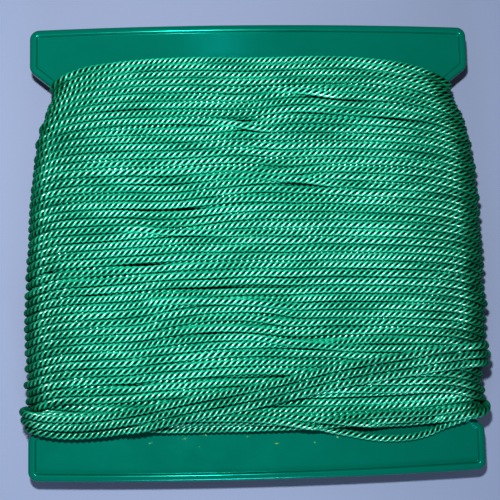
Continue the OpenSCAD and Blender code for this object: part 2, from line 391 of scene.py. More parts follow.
# %% Crossings
# Each crossing has its upper turn, the x of its middle and its length in mm.
CROSSINGS = [(4, 10, 52), (8, -4, 30), (15, 6, 52), (21, -22, 52), (30, -12, 52), (35, 8, 52)]
CROSSING_LIFT = 1.9                            # height of a turn that lies over another, mm
lift = np.zeros(grid_shape)
rides = np.zeros(grid_shape)                   # 1 where a turn lies across others
for turn_over, at_x, crossing_run in CROSSINGS:
    over, under = grid[turn_over].copy(), grid[turn_over + 1].copy()
    swap = smooth_step((x_front - at_x) / crossing_run + 0.5)
    swap = np.where(on_front, swap, carried_round(swap[front_stations]))
    grid[turn_over] = over + swap * (under - over)
    grid[turn_over + 1] = under + swap * (over - under)
    passing = 4 * swap * (1 - swap)
    freed = PITCH / 2 * (1 - np.abs(1 - 2 * swap))
    for k in range(REGULAR):
        beyond = turn_over - 1 - k if k < turn_over else k - turn_over - 2
        if k not in (turn_over, turn_over + 1):
            grid[k] += math.copysign(1, turn_over - k) * freed * math.exp(-beyond / FADE_TURNS)
    rides[turn_over] = np.maximum(rides[turn_over], passing)
    lift[turn_over] += np.where(on_front, CROSSING_LIFT * np.sqrt(passing), 0)
    lift[turn_over + 1] -= np.where(on_front, 0, CROSSING_LIFT * np.sqrt(passing))
print(f"{len(CROSSINGS)} crossings")

# %% [markdown]
# ## Turns that hang loose
# The last seven turns were wound over the low end without care. Two run low and straight. Two
# more start above them and sag towards the right, one of them slack over the flange. A bundle of
# three lies over everything: it starts at the low left corner, slants up across the front and
# wraps the right side a good way up. Each has its own listed route, with the height at which it
# first lies.

# %% Loose turns
LOOSE = [
    # first lift, height held at the right side, route
    (0.0, 0.0, [(-60, -43), (-50, -43.8), (-36, -44.8), (-28, -45.7), (14, -45.7), (24, -45),
                (34, -44.5), (47, -44.5), (60, -43)]),
    (0.0, 0.0, [(-60, -45), (-50, -45.8), (-33, -46.2), (-26, -47.8), (14, -47.8), (24, -47.2),
                (34, -46.6), (47, -46.6), (60, -44.6)]),
    (1.2, 1.0, [(-60, -43), (-30, -43.6), (-13, -43), (-2, -43.6), (12, -45.2), (23, -46.6), (30, -47.4),
                (40, -47.6), (50, -46.4), (60, -43.6)]),
    (1.8, 1.6, [(-60, -45), (-30, -45), (-13, -44.6), (-2, -45), (6, -45.8), (13, -47.4), (20, -48.9),
                (26, -50.3), (31, -51.3), (37, -51.7), (43, -51.4), (49, -49.8), (53, -47.6),
                (60, -42)]),
]
BUNDLE = [                                     # x, then the height of each of the three turns
    (-60, -45.2, -43.2, -41.2), (-57, -47.2, -44.9, -42.6), (-54, -48.3, -46, -43.7),
    (-49, -48.7, -46.4, -44.1), (-43, -48.6, -46.3, -44.1), (-31, -47.3, -45.1, -42.9),
    (-23, -45.4, -43.2, -41), (-13, -43.6, -41.4, -39.2), (-6, -42.4, -40.2, -38),
    (1, -41.2, -39, -36.8), (8, -39.7, -37.5, -35.3), (17, -37.3, -35.1, -32.9),
    (24, -36.1, -33.9, -31.7), (31, -35.2, -33, -30.8), (39, -34, -31.8, -29.6),
    (49, -32.8, -30.6, -28.4), (60, -31.8, -29.6, -27.4),
]
BUNDLE_LIFT = 2.6                              # height at which the bundle first lies, mm
LOOSE += [(BUNDLE_LIFT, held, [(row[0], row[n]) for row in BUNDLE])
          for n, held in enumerate((0.8, 1.2, 0.8), 1)]
print([round(route[-1][1] - route[0][1], 1) for *_, route in LOOSE], "mm of rise across the front")

# %% [markdown]
# The side turns don't lie at one height either: the winding bulges where many turns lie and is
# pinched between. These heights are the winding's own uneven ground, and every turn lies on it.
# The bundle is pulled taut over the low end, and so it stands off the flange there.

# %% Uneven ground and the loose turns' heights
BRIDGE, BRIDGE_LIFT, BRIDGE_RUN = (-57, -30), 3.4, 12   # where the bundle hangs taut, mm
SHOULDER, SHOULDER_RUN, SHOULDER_LIFT = (42, 58), 6, 0.8   # where the first turn climbs the rim
LEFT_SIDE = [(-47, -0.9), (-44, -0.5), (-38, -0.3), (-31, -0.9), (-26, -0.6), (-19, 0), (-8, -0.5),
             (0, -1.1), (10, -1.4), (22, -1.2), (33, -1.0), (44, -0.2)]   # y, and how far it bulges
RIGHT_SIDE = [(-47, -0.9), (-43.5, 0.6), (-40, 0.2), (-37, -1.5), (-33.5, -1.4), (-29.5, 0.7),
              (-24, 0), (-16, 0.7), (-10, 0.3), (5, 0.3), (20, 0.4), (30, 0.8), (37, 1.0), (44, 0.3)]
SIDE_BUMPS, SIDE_DENT = 1.3, 0.3               # of single turns at a side
ground = np.abs(waves(size=0.14, number=12, turns_per_wave=(2.2, 6), rounds=(-3, 3)))
y_here = np.stack([np.interp(grid[:, s], u_table[s], y_table[s]) for s in range(STATIONS)], axis=1)
side_shape = [np.interp(y_here, *np.array(side, float).T) for side in (LEFT_SIDE, RIGHT_SIDE)]
ground += at_side * np.where(across < 0, side_shape[0], side_shape[1])
bumps = np.abs(waves(size=0.4, number=8, turns_per_wave=(2.5, 6), rounds=(0, 1)))
ground += at_side * (SIDE_BUMPS * bumps - SIDE_DENT)
shoulder = SHOULDER_LIFT * faded(np.abs(x_front), *SHOULDER, SHOULDER_RUN)
lift[0] += shoulder
ground[0] += shoulder
lift += ground + np.abs(waves(size=0.2, number=12, turns_per_wave=(1.3, 4), rounds=(-4, 4)))
at_right = np.where(across > 0, at_side, 0)
taut = BRIDGE_LIFT * np.where(on_front, faded(x_front, *BRIDGE, BRIDGE_RUN), 0)
for k, (first_lift, held, route) in enumerate(LOOSE, REGULAR):
    grid[k] = route_u(route)
    lift[k] = first_lift
    ground[k] += held * at_right + (taut if first_lift == BUNDLE_LIFT else 0)
    rides[k] = min(first_lift, 1)
print(f"{len(LOOSE)} loose turns placed")

# %% [markdown]
# ## Settling the turns
# No line can lie inside another, and tension pulls each turn down on what is beneath it. A short
# relaxation works towards both: every step lets the turns sink a little, straightens them a
# little, draws neighbours together, and pushes apart any two that are closer than a line's
# thickness. At the back the flat surface that the winder lies on holds the turns up, so there
# a crossing pushes the lower turn inwards instead. The regular turns end side by side. Where the
# loose ones cross them or each other there is too little room, and in places, the longest of them
# at the back, one turn still runs through another.

# %% Settle
LAID_D = 2.15                                  # distance of two turns that touch, mm
NEIGHBOURS, ROUNDS, SMOOTHINGS = 12, 220, 24
SINK = 0.05                                    # how far a turn sinks in one round, mm
HOMING, STIFFNESS, PUSH, DRAW = 0.06, 0.2, 0.4, 0.12   # shares of a gap that one round closes
DRAW_REACH, DRAW_MOST = 1.2, 0.6               # gap at which neighbours are still drawn together
SOFT_FINISH = 0.25                             # stiffness of the last smoothing
BACK_LIMIT = half_depth(FULLEST) - 0.1         # from the plate's middle, to a turn's middle
SIDE_LIMIT = half_width(FULLEST) + 1.2
SIDE_PLAY, FRONT_LIMIT, DEEPEST = 0.7, 8.0, -2.0   # lifts that a turn may have, mm
EDGE_FROM = 0.97
at_edge = np.abs(across) >= EDGE_FROM
at_back = ~on_front & ~at_edge


def join_turns(array):
    """Turn by turn and station by station as one long line."""
    return np.broadcast_to(array, grid_shape).ravel().copy()


def height_limits(u, ground):
    """How high and how low each place of the long line may lie, and where it comes to rest."""
    v_here = v_at(u)
    at_side_limit = np.minimum(SIDE_LIMIT - half_width(v_here), ground + SIDE_PLAY)
    limit = np.where(at_back, BACK_LIMIT - half_depth(v_here), FRONT_LIMIT)
    limit = np.where(at_edge, at_side_limit, limit)
    rest = np.where(at_back, 0, ground)
    floor = np.where(on_front & ~at_edge, ground, DEEPEST)
    return join_turns(limit), join_turns(floor), join_turns(rest)


def settle(wanted, lift, ground):
    u, h, wish = join_turns(wanted), join_turns(lift), join_turns(wanted)
    limit, floor_h, rest_h = height_limits(wanted, ground)
    held = join_turns(on_front & ~at_edge)
    closed = 1 - join_turns(open_here)
    free = 1 - join_turns(rides)
    for _ in range(ROUNDS):
        h -= np.where(held, SINK, np.clip(h - rest_h, -SINK, SINK))
        u += HOMING * (wish - u)
        straighten(u, STIFFNESS)
        straighten(h, STIFFNESS)
        push_u, push_h = np.zeros_like(u), np.zeros_like(h)
        for n in range(1, NEIGHBOURS + 1):
            a, b = slice(0, -n * STATIONS), slice(n * STATIONS, None)
            du, dh = u[b] - u[a], h[b] - h[a]
            apart = np.hypot(du, dh) + 1e-9
            share = PUSH * np.clip(LAID_D - apart, 0, None) / apart
            if n == 1:
                near = apart < LAID_D + DRAW_REACH
                share -= DRAW * closed[a] * np.clip(apart - LAID_D, 0, DRAW_MOST) * near
            sideways = share * np.minimum(free[a], free[b])
            for line, amount in ((push_u, sideways * du), (push_h, share * dh)):
                line[a] -= amount
                line[b] += amount
        u += push_u
        h = np.clip(h + push_h, floor_h, limit)
    for _ in range(SMOOTHINGS):
        straighten(u, SOFT_FINISH)
        straighten(h, SOFT_FINISH)
    return u.reshape(grid_shape), h.reshape(grid_shape)


settled, height_up = settle(grid, lift, ground)
print(f"turns ride up to {height_up.max():.1f} mm over the others")

# %% [markdown]
# ## Twisted line
# The line is a twine of three strands, laid so that the strands rise to the right on the front.
# A curve object can make it: its bevel is a profile of three lobes, and its tilt turns that
# profile by one third of a round for each strand that passes. A lobe needs only three points and
# the groove beside it one, because the twist and smooth shading round it off.

# %% Profile of the twine
LAY = 4.67                                     # length of one full twist, mm
STRANDS = 3
STRAND_EDGE = 62                               # where a strand's open side ends, degrees
STRAND_DEPTHS = (0.5, 0.0, 0.5, 1.0) * STRANDS   # of the profile's points, 1 in a groove
LAID_LINE_D = 2.06                             # over the strands, where the line lies slack
strand_d = LAID_LINE_D / (1 + 2 / math.sqrt(3))
strand_out = strand_d / math.sqrt(3)           # from the line's middle to a strand's
GROOVE_OUT = 0.24                              # from the line's middle to the groove between two


def profile_object(name, points):
    data = bpy.data.curves.new(name, "CURVE")
    data.dimensions = "2D"
    spline = data.splines.new("POLY")
    spline.points.add(len(points) - 1)
    spline.use_cyclic_u = True
    for place, (x, y) in zip(spline.points, points):
        place.co = (x * MM, y * MM, 0, 1)
    return add_object(name, data)


def strand_points():
    points = []
    for strand in range(STRANDS):
        middle = 2 * math.pi * strand / STRANDS
        for angle in (-STRAND_EDGE, 0, STRAND_EDGE):
            out = middle + math.radians(angle)
            points.append((strand_out * math.cos(middle) + strand_d / 2 * math.cos(out),
                           strand_out * math.sin(middle) + strand_d / 2 * math.sin(out)))
        groove = middle + math.pi / STRANDS
        points.append((GROOVE_OUT * math.cos(groove), GROOVE_OUT * math.sin(groove)))
    return points


strand_profile = profile_object("strand_profile", strand_points())
print(f"strands of {strand_d:.2f} mm, one every {LAY / STRANDS:.2f} mm")

# %% [markdown]
# The curve becomes a mesh at once, because its points are needed: each one stores how deep it
# lies in a groove, and the material reads that. Line that would sink into the floor is flattened
# on it instead.

# %% Tube along a route
def tube(name, points, profile, tilt=None, thickness=None):
    """A mesh tube along points in mm from the plate's middle."""
    data = bpy.data.curves.new(name, "CURVE")
    data.dimensions = "3D"
    data.bevel_mode = "OBJECT"
    data.bevel_object = profile
    data.use_fill_caps = True
    data.twist_mode = "MINIMUM"
    spline = data.splines.new("POLY")
    spline.points.add(len(points) - 1)
    places = np.ones((len(points), 4))
    places[:, :3] = (points + [0, 0, middle_z]) * MM
    spline.points.foreach_set("co", places.ravel())
    if tilt is not None:
        spline.points.foreach_set("tilt", tilt)
    if thickness is not None:
        spline.points.foreach_set("radius", thickness)
    curve = add_object(name, data)
    bpy.context.view_layer.update()
    seen = curve.evaluated_get(bpy.context.evaluated_depsgraph_get())
    mesh = bpy.data.meshes.new_from_object(seen)
    bpy.data.objects.remove(curve)
    mesh.polygons.foreach_set("use_smooth", [True] * len(mesh.polygons))
    for vertex in mesh.vertices:
        vertex.co.z = max(vertex.co.z, 0.0)
    return add_object(name, mesh)


print("a ring of the twine's tube has", len(STRAND_DEPTHS), "points")

# %% [markdown]
# Neighbouring turns press on each other, and there the strands are squeezed together until the
# groove between them is nearly closed. On the winding's outside the groove stays open and deep.
# That makes the short slanted strokes that one sees on wound twine. Each ring of the tube knows
# which way is outward, so a groove's points can be moved by the way they face. Hard edges along
# the grooves keep the strands apart for the eye.

# %% Grooves between the strands
GROOVE_PRESSED = 0.70                          # GROOVE_OUT, where a neighbouring turn presses
OPEN_FROM, OPEN_BLEND = 0.58, 0.3              # how much outward an open groove faces
SIDE_POWER = 10                                # how suddenly outward turns sideways at a side
PRESSED_DEPTH = 0.5                            # of the groove's depth that pressing takes away


def press_grooves(line, depths):
    """Closes the grooves where turns press on each other sideways, and leaves them open on the
    winding's outside. Gives back how deep each point lies between two strands."""
    places = np.empty(3 * len(line.data.vertices))
    line.data.vertices.foreach_get("co", places)
    rings = places.reshape(-1, len(depths), 3) / MM - [0, 0, middle_z]
    middles = rings.mean(axis=1, keepdims=True)
    arms = rings - middles
    x, z = middles[:, :, :1], middles[:, :, 2:]
    sideways = np.sign(x) * (np.abs(x) / SIDE_LIMIT) ** SIDE_POWER
    outward = np.concatenate([sideways, 0 * x, z / BACK_LIMIT], axis=2)
    outward /= np.linalg.norm(outward, axis=2, keepdims=True)
    reach = np.linalg.norm(arms, axis=2, keepdims=True)
    facing = (arms * outward).sum(axis=2, keepdims=True) / reach
    groove = (np.array(depths) == 1)[None, :, None]
    pressed = groove * (1 - smooth_step((facing - OPEN_FROM) / OPEN_BLEND))
    moved = middles + arms * (1 + pressed * (GROOVE_PRESSED / GROOVE_OUT - 1))
    line.data.vertices.foreach_set("co", ((moved + [0, 0, middle_z]) * MM).ravel())
    # The stored depth sets the painted groove shade, so a pressed groove is painted lighter.
    return (np.array(depths)[None, :, None] - PRESSED_DEPTH * pressed).ravel()


def mark_strands(line, depths, darkening=()):
    """Stores how deep each point lies between two strands, 0 on a crest, 1 in a groove,
    and how much the line is darkened there, from 0 to 1: painted shade at the side turns, and the loose
    turns darkened."""
    rings = len(line.data.vertices) // len(depths)
    depth = np.tile(depths, rings).astype(np.float32)
    stored = line.data.attributes.new("strand_depth", "FLOAT", "POINT")
    stored.data.foreach_set("value", press_grooves(line, depths).astype(np.float32))
    by_ring = np.zeros(rings)                    # the rings of the two end caps come last
    by_ring[:len(darkening)] = darkening
    darkened = line.data.attributes.new("darkening", "FLOAT", "POINT")
    darkened.data.foreach_set("value", np.repeat(by_ring, len(depths)).astype(np.float32))
    ends = np.empty(2 * len(line.data.edges), int)
    line.data.edges.foreach_get("vertices", ends)
    in_groove = (depth[ends.reshape(-1, 2)] == 1).all(axis=1)
    creases = line.data.attributes.new("sharp_edge", "BOOLEAN", "EDGE")
    creases.data.foreach_set("value", in_groove)


print(f"a groove is {LAID_LINE_D / 2 - GROOVE_OUT:.2f} mm deep,",
      f"{LAID_LINE_D / 2 - GROOVE_PRESSED:.2f} mm where it is pressed")

# %% [markdown]
# ## Even spacing
# A curve with the bevel of a twine needs its points evenly spaced, because each ring of the tube
# turns a little further than the one before, and uneven rings would show as uneven strands. The
# twist itself is never quite even: winding by hand adds to it here and takes from it there.

# %% Even spacing along a route
def evenly(points, spacing):
    """The same route, with points an even distance apart, and the distance of each."""
    length = distances(points[:, :3])
    number = int(length[-1] / spacing) + 1
    places = np.linspace(0, length[-1], number)
    return np.stack([np.interp(places, length, column) for column in points.T], axis=1), places


TWIST_WANDER = [(1.1, random.uniform(60, 400), random.uniform(0, 6.3)) for _ in range(8)]


def uneven_twist(along):
    """What a hand's winding adds to the lay, a slow wander of a few radians."""
    return sum(size * np.sin(2 * np.pi * along / length + phase)
               for size, length, phase in TWIST_WANDER)


wander = uneven_twist(np.linspace(0, 1000, 500)) / (2 * np.pi)
print(f"in a metre of line the twist wanders from {wander.min():.2f} to {wander.max():.2f} turns")

# %% [markdown]
# ## The outer turns
# The settled spiral is now one route of some twelve metres. It is cut into pieces at the back, so
# that none is too heavy to handle, and the twist runs on from one piece to the next, so that no cut
# shows. The line's outer end dives under its neighbours, as an angler tucks it in. Each point
# stores how much the line is darkened there: painted shade on the side turns, where the winding
# turns away from the light, and the loose turns darkened all over.

# %% Outer turns
RING_EVERY = 0.46                              # from one ring of the tube to the next, mm
PIECES = 4
TUCK = 0.1                                     # turns over which an end dives under its neighbours
TUCK_ASIDE, TUCK_DOWN = 2.4, 1.9               # how far it goes, mm
FLATTENED = 0.1                                # of a turn's thickness, where it rests, mm
# Painted shade: the side turns are darkened where the winding turns away from the light.
SIDE_SHADE_RAMPS = [(0.45, 0.6, 0.28), (0.55, 0.885, 0.07)]   # how much, from where in `across`, its run
LOOSE_DARKENING = 0.42                            # the last turns are darkened all over
side_shade = sum(much * smooth_step((np.abs(across) - begins) / run) for much, begins, run in SIDE_SHADE_RAMPS)
tucked = smooth_step((TUCK - np.minimum(clock, clock[-1] - clock)) / TUCK).reshape(grid_shape)
settled += TUCK_ASIDE * tucked * np.where(clock < 1, 1, -1).reshape(grid_shape)
height_up -= TUCK_DOWN * tucked
route = wound(v_at(settled), across[None, :], face[None, :], height_up).reshape(-1, 3)
route[:, 2] = np.maximum(route[:, 2], LINE_D / 2 - FLATTENED - middle_z)
loose = np.arange(TURNS)[:, None] >= REGULAR
route = np.column_stack([route, np.maximum(side_shade, LOOSE_DARKENING * loose).ravel()])
outer = []
start = 0.0
cuts = [round(TURNS * i / PIECES) * STATIONS for i in range(PIECES + 1)]
for number, (first, after) in enumerate(zip(cuts, cuts[1:]), 1):
    stretch, along = evenly(route[first:after + 1], RING_EVERY)
    twist = -2 * np.pi * (start + along) / LAY + uneven_twist(start + along)
    start += along[-1]
    outer.append(tube(f"outer_turns_{number}", stretch[:, :3], strand_profile, twist))
    mark_strands(outer[-1], STRAND_DEPTHS, stretch[:, 3])
print(f"outer layer {start / 1000:.2f} m,", [len(o.data.polygons) for o in outer], "faces")

# %% [markdown]
# ## The start of the line
# A winding is fastened at its inner end, or it would slip round the plate: the line comes through
# a small hole in the neck and an overhand knot stops it. The knot is a trefoil that is opened at
# one place, which is a formula of three sines. Pulled tight, the line in it is thinner.

# %% Start of the line
WEB_T, ANCHOR_IN, ANCHOR_Y = 2.4, 9.0, 10.0    # panel's thickness, hole from the neck's side, its y
HOLE_R = 1.4
KNOT_R, KNOT_OPENING = 2.9, 0.25               # room that the knot takes, mm, and its gap, rad
KNOT_TIGHT = 0.65                              # thickness of the line in the knot, of its own
KNOT_LOOP, KNOT_LOBE, KNOT_RISE = 1.6, 0.7, 0.9
START_RING_EVERY, START_SMOOTHINGS = 0.3, 3
RUN_DEPTH = plate_t / 2 + LINE_GAP + LINE_D / 2
anchor = np.array([ANCHOR_IN - neck_w / 2, ANCHOR_Y, 0])
knot_spot = anchor + [-1.4, 0.6, WEB_T / 2 + 1.6]   # on the panel, beside the hole
opened = np.linspace(KNOT_OPENING, 2 * np.pi - KNOT_OPENING, 90)
ring = KNOT_LOOP + KNOT_LOBE * np.cos(3 * opened)
loops = np.stack([ring * np.cos(2 * opened), ring * np.sin(2 * opened), KNOT_RISE * np.sin(3 * opened)],
                 axis=1)
tail = np.array([(3.3, 0.2, 2.0), (2.9, 0.9, 1.2)])
bend_r = RUN_DEPTH - WEB_T / 2
quarter = np.linspace(0, np.pi / 2, 12)[:, None]
bend = np.hstack([bend_r * (np.cos(quarter) - 1), 0 * quarter, -WEB_T / 2 - bend_r * np.sin(quarter)])
start_run = np.vstack([knot_spot + tail, knot_spot + loops, anchor + [0, 0, 0.8], anchor + bend,
                       anchor + [-ANCHOR_IN, 0, -RUN_DEPTH]])
stretch, along = evenly(start_run, START_RING_EVERY)
for _ in range(START_SMOOTHINGS):
    straighten(stretch, SOFT_FINISH)
tightness = np.interp(stretch[:, 2], [-WEB_T / 2, WEB_T / 2], [1, KNOT_TIGHT])
start_knot = tube("start_knot", stretch, strand_profile, -2 * np.pi * along / LAY, tightness)
mark_strands(start_knot, STRAND_DEPTHS)


def clear_of_knot(points):
    """Points of a line, pushed aside where they would run through the knot."""
    away = points - knot_spot
    gap = np.linalg.norm(away, axis=1, keepdims=True)
    return knot_spot + away * np.maximum(1, (KNOT_R + LINE_D / 2) / gap)


print(f"the line's start is {along[-1]:.0f} mm long, {len(start_knot.data.polygons)} faces")

# %% [markdown]
# ## Inner layers
# Beneath the outer turns lie four more layers. They nest in each other's hollows, so a layer
# adds less than a line's thickness, and each covers only the part where the cushion is deep
# enough for it. The first of them shows in the gaps between outer turns, so it is twisted line as
# well. The others never show, and plain round tubes will do.

# %% Inner layers
LAYER_STEP = LINE_D * math.cos(math.radians(30))
LAYERS = 4
INNER_PITCH = LINE_D * 1.02
WANDER, WANDER_EVERY = 0.25, 3.3               # of an inner turn, mm, and turns to a wave
FIRST_INNER_PIECES, FIRST_RING_EVERY = 3, 0.62
DEEP_RING_EVERY = 1.4                          # coarser still for each deeper layer, mm
ROUND_SIDES = 7
HALF_WAY = 50                                  # about, from the middle to an end, mm
spokes = [2 * math.pi / ROUND_SIDES * i for i in range(ROUND_SIDES)]
round_profile = profile_object(
    "round_profile", [(LINE_D / 2 * math.cos(spoke), LINE_D / 2 * math.sin(spoke)) for spoke in spokes])


def layer_spiral(depth, turns_of_layer, from_v, to_v):
    clock = np.arange(turns_of_layer * STATIONS + 1) / STATIONS
    v = from_v + (to_v - from_v) * clock / turns_of_layer
    s = np.arange(len(clock)) % STATIONS
    wander = WANDER * np.cos(2 * np.pi * (clock / WANDER_EVERY + 2 * (clock % 1)) + depth)
    return wound(v + wander / HALF_WAY, across[s], face[s], -depth)


inner = []
inner_length = 0.0
covered = np.linspace(-1, 1, 801)
for layer in range(1, LAYERS + 1):
    depth = layer * LAYER_STEP
    deep_enough = covered[half_depth(covered) - depth > plate_t / 2 + LINE_D / 2]
    low, high = deep_enough[0], deep_enough[-1]
    layer_turns = int((high - low) / 2 * end_u.mean() / INNER_PITCH)
    spiral = clear_of_knot(layer_spiral(depth, layer_turns, high, low))
    if layer > 1:
        stretch, along = evenly(spiral, DEEP_RING_EVERY * layer ** 0.5)
        inner_length += along[-1]
        inner.append(tube(f"inner_layer_{layer}", stretch, round_profile))
        continue
    cuts = [round(layer_turns * i / FIRST_INNER_PIECES) * STATIONS
            for i in range(FIRST_INNER_PIECES + 1)]
    for number, (first, after) in enumerate(zip(cuts, cuts[1:]), 1):
        stretch, along = evenly(spiral[first:after + 1], FIRST_RING_EVERY)
        inner.append(tube(f"inner_layer_1_{number}", stretch, strand_profile,
                          -2 * np.pi * (inner_length + along) / LAY))
        mark_strands(inner[-1], STRAND_DEPTHS)
        inner_length += along[-1]
print(f"inner layers {inner_length / 1000:.1f} m,", [len(o.data.polygons) for o in inner], "faces")

# %% [markdown]
# ## The moulded plate
# The plate is one moulding: an outline with rounded corners, a thin panel and a raised rim all
# round. Half of it is modelled, from the middle plane up: a flat outline face is rounded at its
# corners by a vertex bevel, raised, inset for the rim and again, sunk, for the panel. Edge
# bevels round the rim, and a mirror makes the back.

# %% Outline of the plate
RIM_W, RIM_DRAFT, RIM_FALL = 1.8, 0.3, 0.3     # the raised rim, mm
EDGE_R, INNER_EDGE_R, PANEL_EDGE_R = 0.8, 0.35, 0.08
CORNER_R, NECK_R, CROWN_STEPS = 2.6, 3.0, 13


def plate_outline():
    """Corners of the outline's right upper quarter, then the whole, as (x, y, radius)."""
    shoulder_y = winder_h / 2 - FLANGE_SIDE
    neck_y = shoulder_y - NECK_DEPTH * math.tan(SHOULDER_ANGLE)
    edge_r = ((plate_w / 2) ** 2 + EDGE_CROWN ** 2) / (2 * EDGE_CROWN)
    crown = [(x, winder_h / 2 + EDGE_CROWN - edge_r + math.sqrt(edge_r ** 2 - x ** 2), 0)
             for x in np.linspace(plate_w / 2, 0, CROWN_STEPS)[1:-1]]
    quarter = [(neck_w / 2, neck_y, NECK_R), (plate_w / 2, shoulder_y, CORNER_R),
               (plate_w / 2, winder_h / 2, CORNER_R)] + crown
    half = quarter + [(0, winder_h / 2 + EDGE_CROWN, 0)] + [(-x, y, r) for x, y, r in reversed(quarter)]
    return half + [(-x, -y, r) for x, y, r in half]


def rounded_face(bm, outline):
    corners = [bm.verts.new((x * MM, y * MM, 0)) for x, y, _ in outline]
    bm.faces.new(corners)
    for radius in (CORNER_R, NECK_R):
        for vert, (x, y, r) in zip(list(corners), outline):
            if r != radius:
                continue
            arms = [e.other_vert(vert).co - vert.co for e in vert.link_edges]
            reach = radius * MM / math.tan(arms[0].angle(arms[1]) / 2)
            bmesh.ops.bevel(bm, geom=[vert], offset=reach, segments=8, profile=0.5,
                            affect="VERTICES", material=-1)
    return max(bm.faces, key=lambda f: f.calc_area())


print(f"the outline has {len(plate_outline())} corners before they are rounded")

# %% Plate with its rim
bm = bmesh.new()
base = rounded_face(bm, plate_outline())
raised = bmesh.ops.extrude_face_region(bm, geom=[base])
raised_verts = [v for v in raised["geom"] if isinstance(v, bmesh.types.BMVert)]
bmesh.ops.translate(bm, vec=(0, 0, plate_t / 2 * MM), verts=raised_verts)
top = max(bm.faces, key=lambda f: f.calc_center_median().z)
rim_edges = list(top.edges)
bmesh.ops.inset_region(bm, faces=[top], thickness=RIM_W * MM, use_even_offset=True)
rim_verts = list({vert for edge in rim_edges for vert in edge.verts})
bmesh.ops.translate(bm, vec=(0, 0, -RIM_FALL * MM), verts=rim_verts)
inner_rim = list(top.edges)
bmesh.ops.inset_region(bm, faces=[top], thickness=RIM_DRAFT * MM, depth=-(plate_t - WEB_T) / 2 * MM,
                       use_even_offset=True)
panel_edges = list(top.edges)
for edges, radius, segments in ((rim_edges, EDGE_R, 6), (inner_rim, INNER_EDGE_R, 4),
                                (panel_edges, PANEL_EDGE_R, 2)):
    bmesh.ops.bevel(bm, geom=[e for e in edges if e.is_valid], offset=radius * MM, segments=segments,
                    profile=0.5, affect="EDGES", material=-1)
bmesh.ops.delete(bm, geom=[f for f in bm.faces if f.calc_center_median().z < 1e-7], context="FACES_ONLY")
bmesh.ops.mirror(bm, geom=bm.faces[:] + bm.edges[:] + bm.verts[:], axis="Z", merge_dist=1e-6)
bmesh.ops.remove_doubles(bm, verts=bm.verts, dist=1e-6)
bmesh.ops.translate(bm, verts=bm.verts, vec=(0, 0, middle_z * MM))
bmesh.ops.recalc_face_normals(bm, faces=bm.faces)
open_edges = sum(not e.is_manifold for e in bm.edges)
plate = object_of("winder_plate", bm)
print(f"plate: {len(plate.data.polygons)} faces, {open_edges} open edges")

# %% [markdown]
# ## The anchor hole
# The line starts at a small round hole in the neck. A cylinder stands in for the drill, and
# a Boolean takes it out of the plate. Weighted normals then keep the large flat faces flat to the
# eye next to the small rounds of the rim.

# %% Anchor hole
bm = bmesh.new()
bmesh.ops.create_cone(bm, cap_ends=True, segments=48, radius1=HOLE_R * MM, radius2=HOLE_R * MM,
                      depth=2 * plate_t * MM)
bmesh.ops.translate(bm, verts=bm.verts, vec=(Vector(anchor) + Vector((0, 0, middle_z))) * MM)
drill = object_of("drill", bm)
drilled = plate.modifiers.new("anchor hole", "BOOLEAN")
drilled.operation = "DIFFERENCE"
drilled.object = drill
bpy.context.view_layer.update()
seen = plate.evaluated_get(bpy.context.evaluated_depsgraph_get())
plate.data = bpy.data.meshes.new_from_object(seen)
plate.modifiers.clear()
bpy.data.objects.remove(drill)
plate.data.polygons.foreach_set("use_smooth", [True] * len(plate.data.polygons))
even_out = plate.modifiers.new("weighted normals", "WEIGHTED_NORMAL")
even_out.keep_sharp = True
even_out.weight = 100
print(f"drilled plate: {len(plate.data.polygons)} faces")

# %% [markdown]
# ## Materials
# Colours are given as sRGB hex values, as a colour chart has them, and one function turns them
# into the linear numbers that the shader wants. One more small function adds a node. Sockets that
# share a name go by number: a Map Range takes its value in 0, turns the range from 1 to 2 into
# that from 3 to 4, and a colour Mix goes by the share in 0 from the colour in 6 to that in 7.

# %% Material helpers
def linear(hex_colour):
    """An sRGB hex colour as linear red, green, blue and alpha."""
    parts = [int(hex_colour[i:i + 2], 16) / 255 for i in (1, 3, 5)]
    return [c / 12.92 if c <= 0.04045 else ((c + 0.055) / 1.055) ** 2.4 for c in parts] + [1.0]


def add_node(tree, kind, inputs=(), **settings):
    """Adds a node: settings are its properties, inputs its sockets' values or links."""
    made = tree.nodes.new(kind)
    for name, value in settings.items():
        setattr(made, name, value)
    for socket, value in dict(inputs).items():
        if isinstance(value, bpy.types.NodeSocket):
            tree.links.new(value, made.inputs[socket])
        else:
            made.inputs[socket].default_value = value
    return made


def scale_for(size):
    """A texture's scale for features of a size in mm."""
    return 1 / (size * MM)


def empty_material(name):
    made = bpy.data.materials.new(name)
    made.use_nodes = True
    made.node_tree.nodes.clear()
    return made, made.node_tree


def finish_material(tree, shader):
    add_node(tree, "ShaderNodeOutputMaterial", {"Surface": shader.outputs[0]})


print("white is", linear("#FFFFFF"))

# %% [markdown]
# ## Twisted nylon
# The line is dyed polyamide, drawn to fine filaments and twisted. Drawn filaments are smooth and
# lie side by side, so each strand has a crisp pale glint along its ridge, while hardly any light
# comes back out of the deep groove between two strands. The strands themselves are modelled, and
# the material follows them by the depth that each point stores: a painted highlight colours each
# ridge lighter, and a painted shade colours each groove and its reflection near black. Under
# tension a line is pressed flat in places and shines there; elsewhere loose filaments make it
# dull. That is a noise drawn out along the turns. At the side turns, where the winding turns away
# from the light, a painted shade makes the line dark and its reflection dim; the loose turns are
# darkened all over.

# %% Twisted nylon
SHINY_LENGTH, SHINY_WIDTH = 12.0, 2.6          # size of a pressed, shiny stretch of line, mm


